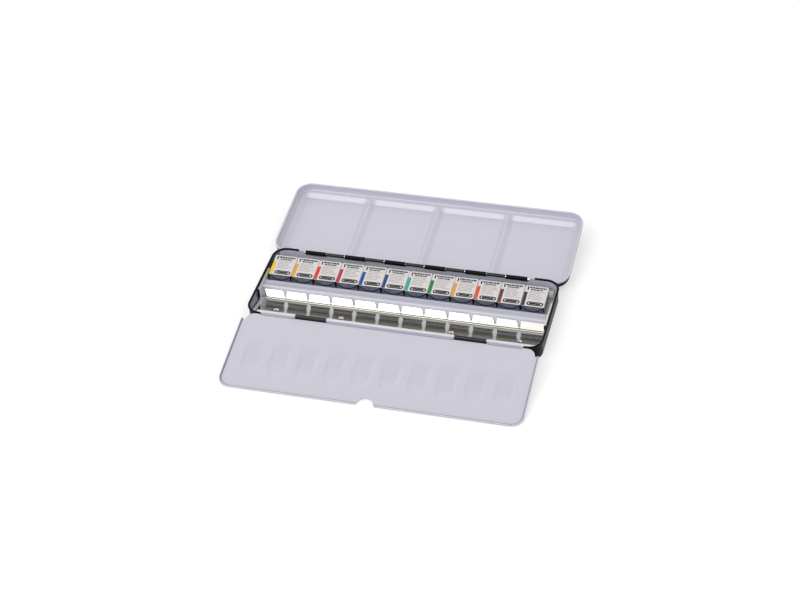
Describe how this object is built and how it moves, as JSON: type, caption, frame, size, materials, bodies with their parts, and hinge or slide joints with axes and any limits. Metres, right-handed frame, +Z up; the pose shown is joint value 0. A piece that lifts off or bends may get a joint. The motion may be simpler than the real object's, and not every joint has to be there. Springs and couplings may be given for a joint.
{
  "type": "watercolor paint box",
  "caption": "Shallow metal box with a hinged lid of mixing wells, a folding palette flap, a tray with clip strips and a row of wrapped half pans of watercolor.",
  "frame": {"origin": "centre of the case's underside, on the table", "axes": "+X along the box to the right, +Y from the palette flap towards the lid, +Z up"},
  "size_m": [0.2124, 0.2054, 0.0169],
  "materials": {
    "black_lacquer": "gloss lacquer",
    "white_enamel": "gloss enamel",
    "hinge_steel": "drawn wire",
    "tinplate": "bright rolled sheet",
    "pan_plastic": "satin",
    "wrapper_paper": "coated paper over foil",
    "paint_01": "dry cake of watercolor",
    "paint_02": "dry cake of watercolor",
    "paint_03": "dry cake of watercolor",
    "paint_04": "dry cake of watercolor",
    "paint_05": "dry cake of watercolor",
    "paint_06": "dry cake of watercolor",
    "paint_07": "dry cake of watercolor",
    "paint_08": "dry cake of watercolor",
    "paint_09": "dry cake of watercolor",
    "paint_10": "dry cake of watercolor",
    "paint_11": "dry cake of watercolor",
    "paint_12": "dry cake of watercolor"
  },
  "bodies": {
    "case": {"case_body": "black_lacquer", "rear_hinge_pin": "hinge_steel", "front_hinge_pin": "hinge_steel", "pan_tray": "white_enamel", "holder_strip_front": "tinplate", "holder_strip_rear": "tinplate", "rivet_front_1": "tinplate", "rivet_front_2": "tinplate", "rivet_front_3": "tinplate", "rivet_front_4": "tinplate", "rivet_rear_1": "tinplate", "rivet_rear_2": "tinplate", "rivet_rear_3": "tinplate", "rivet_rear_4": "tinplate", "half_pan_01": "pan_plastic", "paint_01": "paint_01", "wrapper_01": "wrapper_paper", "half_pan_02": "pan_plastic", "paint_02": "paint_02", "wrapper_02": "wrapper_paper", "half_pan_03": "pan_plastic", "paint_03": "paint_03", "wrapper_03": "wrapper_paper", "half_pan_04": "pan_plastic", "paint_04": "paint_04", "wrapper_04": "wrapper_paper", "half_pan_05": "pan_plastic", "paint_05": "paint_05", "wrapper_05": "wrapper_paper", "half_pan_06": "pan_plastic", "paint_06": "paint_06", "wrapper_06": "wrapper_paper", "half_pan_07": "pan_plastic", "paint_07": "paint_07", "wrapper_07": "wrapper_paper", "half_pan_08": "pan_plastic", "paint_08": "paint_08", "wrapper_08": "wrapper_paper", "half_pan_09": "pan_plastic", "paint_09": "paint_09", "wrapper_09": "wrapper_paper", "half_pan_10": "pan_plastic", "paint_10": "paint_10", "wrapper_10": "wrapper_paper", "half_pan_11": "pan_plastic", "paint_11": "paint_11", "wrapper_11": "wrapper_paper", "half_pan_12": "pan_plastic", "paint_12": "paint_12", "wrapper_12": "wrapper_paper"},
    "lid": {"lid_shell": "white_enamel"},
    "flap": {"palette_flap": "white_enamel"}
  },
  "joints": [
    {"name": "lid_hinge", "type": "hinge", "parent": "case", "child": "lid", "pos_m": [0, 0.0347, 0.0111], "axis": [1, 0, 0], "range_deg": [0, 174.2]},
    {"name": "flap_hinge", "type": "hinge", "parent": "case", "child": "flap", "pos_m": [0, -0.0351, 0.0129], "axis": [-1, 0, 0], "range_deg": [0, 190.53]}
  ]
}
